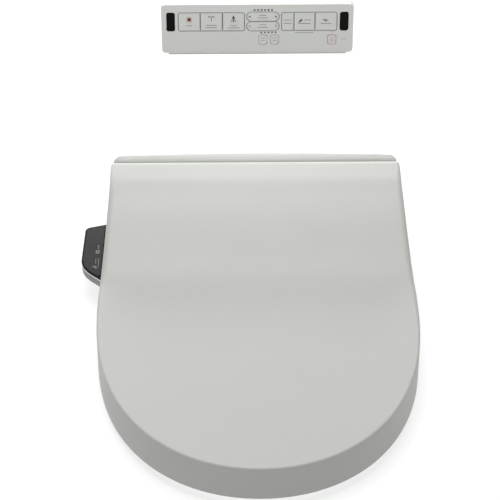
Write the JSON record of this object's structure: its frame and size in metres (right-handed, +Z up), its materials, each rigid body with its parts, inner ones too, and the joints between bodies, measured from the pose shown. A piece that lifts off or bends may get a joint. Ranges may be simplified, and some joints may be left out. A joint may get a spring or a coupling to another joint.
{
  "type": "electric bidet seat",
  "caption": "Electric bidet toilet seat with a raised rear unit, a soft-close lid and seat, twin telescoping wash nozzles, a side control panel and a wall-held remote control.",
  "frame": {"origin": "flat underside of the bowl mounting plate, midway between the two bolt positions", "axes": "+Z up, -Y towards the front of the seat, side control panel on the -X side (the user's right hand)"},
  "size_m": [0.4062, 0.615, 0.302],
  "materials": {
    "white_shell": "satin gloss",
    "white_inner": "satin",
    "gloss_black": "high gloss",
    "silver_trim": "satin chrome",
    "steel": "brushed",
    "brass": "machined",
    "rubber": "matte",
    "grey_plastic": "fine texture",
    "nozzle_plastic": "polished",
    "key_plastic": "satin",
    "circuit_board": "solder mask",
    "heater_foil": "foil",
    "battery_wrap": "gloss wrap"
  },
  "bodies": {
    "mount": {"mounting_plate": "steel", "bolt_bushing_left": "grey_plastic", "bolt_bushing_right": "grey_plastic", "remote_holder": "white_inner"},
    "base": {"base_case": "white_inner", "base_foot_left": "rubber", "base_foot_right": "rubber", "upper_case": "white_shell", "hinge_pin_left": "steel", "hinge_pin_right": "steel", "soft_close_damper_left": "grey_plastic", "soft_close_damper_right": "grey_plastic", "side_control_arm": "white_inner", "side_control_trim": "silver_trim", "side_control_panel": "gloss_black", "nozzle_guide": "grey_plastic", "nozzle_motor_left": "steel", "nozzle_motor_right": "steel", "water_heater_tank": "grey_plastic", "water_inlet_valve": "grey_plastic", "wash_pump": "grey_plastic", "main_board": "circuit_board", "water_inlet": "brass", "power_gland": "rubber"},
    "release": {"release_button": "grey_plastic"},
    "rear_carriage": {"rear_wash_carriage": "grey_plastic"},
    "rear_nozzle": {"rear_wash_nozzle": "nozzle_plastic"},
    "front_carriage": {"front_wash_carriage": "grey_plastic"},
    "front_nozzle": {"front_wash_nozzle": "nozzle_plastic"},
    "seat": {"seat_shell": "white_shell", "seat_underside": "white_inner", "seat_heater": "heater_foil", "seat_bumper_front_left": "rubber", "seat_bumper_front_right": "rubber", "seat_bumper_rear_left": "rubber", "seat_bumper_rear_right": "rubber"},
    "lid": {"lid_shell": "white_shell", "lid_bumper_left": "rubber", "lid_bumper_right": "rubber"},
    "remote": {"remote_front": "white_shell", "remote_back": "white_inner", "remote_board": "circuit_board", "battery_1": "battery_wrap", "battery_2": "battery_wrap", "infrared_window_left": "gloss_black", "infrared_window_right": "gloss_black"},
    "battery_door": {"battery_door": "white_inner"},
    "key_stop": {"key_stop": "key_plastic"},
    "key_rear_wash": {"key_rear_wash": "key_plastic"},
    "key_front_wash": {"key_front_wash": "key_plastic"},
    "key_clean": {"key_clean": "key_plastic"},
    "key_power_wash": {"key_power_wash": "key_plastic"},
    "key_massage": {"key_massage": "key_plastic"},
    "key_water_heat": {"key_water_heat": "key_plastic"},
    "key_seat_heat": {"key_seat_heat": "key_plastic"},
    "key_power": {"key_power": "key_plastic"},
    "rocker_pressure": {"rocker_pressure": "key_plastic"},
    "rocker_position": {"rocker_position": "key_plastic"}
  },
  "joints": [
    {"name": "unit_slide", "type": "slide", "parent": "mount", "child": "base", "axis": [0, -1, 0], "range_m": [0, 0.03]},
    {"name": "seat_hinge", "type": "hinge", "parent": "base", "child": "seat", "pos_m": [0, 0.026, 0.106], "axis": [-1, 0, 0], "range_deg": [0, 100]},
    {"name": "lid_hinge", "type": "hinge", "parent": "seat", "child": "lid", "pos_m": [0, 0.026, 0.106], "axis": [1, 0, 0], "range_deg": [-100, 0]},
    {"name": "release_press", "type": "slide", "parent": "base", "child": "release", "axis": [-1, 0, 0], "range_m": [0, 0.004], "stiffness_N_per_m": 600, "springref_m": -0.002},
    {"name": "rear_carriage_slide", "type": "slide", "parent": "base", "child": "rear_carriage", "axis": [0, -0.9659, -0.2588], "range_m": [0, 0.05]},
    {"name": "rear_nozzle_slide", "type": "slide", "parent": "rear_carriage", "child": "rear_nozzle", "axis": [0, -0.9659, -0.2588], "range_m": [0, 0.05]},
    {"name": "front_carriage_slide", "type": "slide", "parent": "base", "child": "front_carriage", "axis": [0, -0.9659, -0.2588], "range_m": [0, 0.05]},
    {"name": "front_nozzle_slide", "type": "slide", "parent": "front_carriage", "child": "front_nozzle", "axis": [0, -0.9659, -0.2588], "range_m": [0, 0.05]},
    {"name": "remote_lift", "type": "slide", "parent": "mount", "child": "remote", "axis": [0, 0, 1], "range_m": [0, 0.025]},
    {"name": "battery_door_slide", "type": "slide", "parent": "remote", "child": "battery_door", "axis": [0, 0, 1], "range_m": [0, 0.015]},
    {"name": "key_stop_press", "type": "slide", "parent": "remote", "child": "key_stop", "axis": [0, 1, 0], "range_m": [0, 0.0006], "stiffness_N_per_m": 1500, "springref_m": -0.0004},
    {"name": "key_rear_wash_press", "type": "slide", "parent": "remote", "child": "key_rear_wash", "axis": [0, 1, 0], "range_m": [0, 0.0006], "stiffness_N_per_m": 1500, "springref_m": -0.0004},
    {"name": "key_front_wash_press", "type": "slide", "parent": "remote", "child": "key_front_wash", "axis": [0, 1, 0], "range_m": [0, 0.0006], "stiffness_N_per_m": 1500, "springref_m": -0.0004},
    {"name": "key_clean_press", "type": "slide", "parent": "remote", "child": "key_clean", "axis": [0, 1, 0], "range_m": [0, 0.0006], "stiffness_N_per_m": 1500, "springref_m": -0.0004},
    {"name": "key_power_wash_press", "type": "slide", "parent": "remote", "child": "key_power_wash", "axis": [0, 1, 0], "range_m": [0, 0.0006], "stiffness_N_per_m": 1500, "springref_m": -0.0004},
    {"name": "key_massage_press", "type": "slide", "parent": "remote", "child": "key_massage", "axis": [0, 1, 0], "range_m": [0, 0.0006], "stiffness_N_per_m": 1500, "springref_m": -0.0004},
    {"name": "key_water_heat_press", "type": "slide", "parent": "remote", "child": "key_water_heat", "axis": [0, 1, 0], "range_m": [0, 0.0006], "stiffness_N_per_m": 1500, "springref_m": -0.0004},
    {"name": "key_seat_heat_press", "type": "slide", "parent": "remote", "child": "key_seat_heat", "axis": [0, 1, 0], "range_m": [0, 0.0006], "stiffness_N_per_m": 1500, "springref_m": -0.0004},
    {"name": "key_power_press", "type": "slide", "parent": "remote", "child": "key_power", "axis": [0, 1, 0], "range_m": [0, 0.0006], "stiffness_N_per_m": 1500, "springref_m": -0.0004},
    {"name": "rocker_pressure_tilt", "type": "hinge", "parent": "remote", "child": "rocker_pressure", "pos_m": [0.0105, 0.13, 0.2853], "axis": [0, 0, 1], "range_deg": [-2, 2], "stiffness_Nm_per_rad": 0.5},
    {"name": "rocker_position_tilt", "type": "hinge", "parent": "remote", "child": "rocker_position", "pos_m": [0.0105, 0.13, 0.272], "axis": [0, 0, 1], "range_deg": [-2, 2], "stiffness_Nm_per_rad": 0.5}
  ],
  "couplings": [
    {"joint": "rear_nozzle_slide", "follows": "rear_carriage_slide", "ratio": 1},
    {"joint": "front_nozzle_slide", "follows": "front_carriage_slide", "ratio": 1}
  ]
}
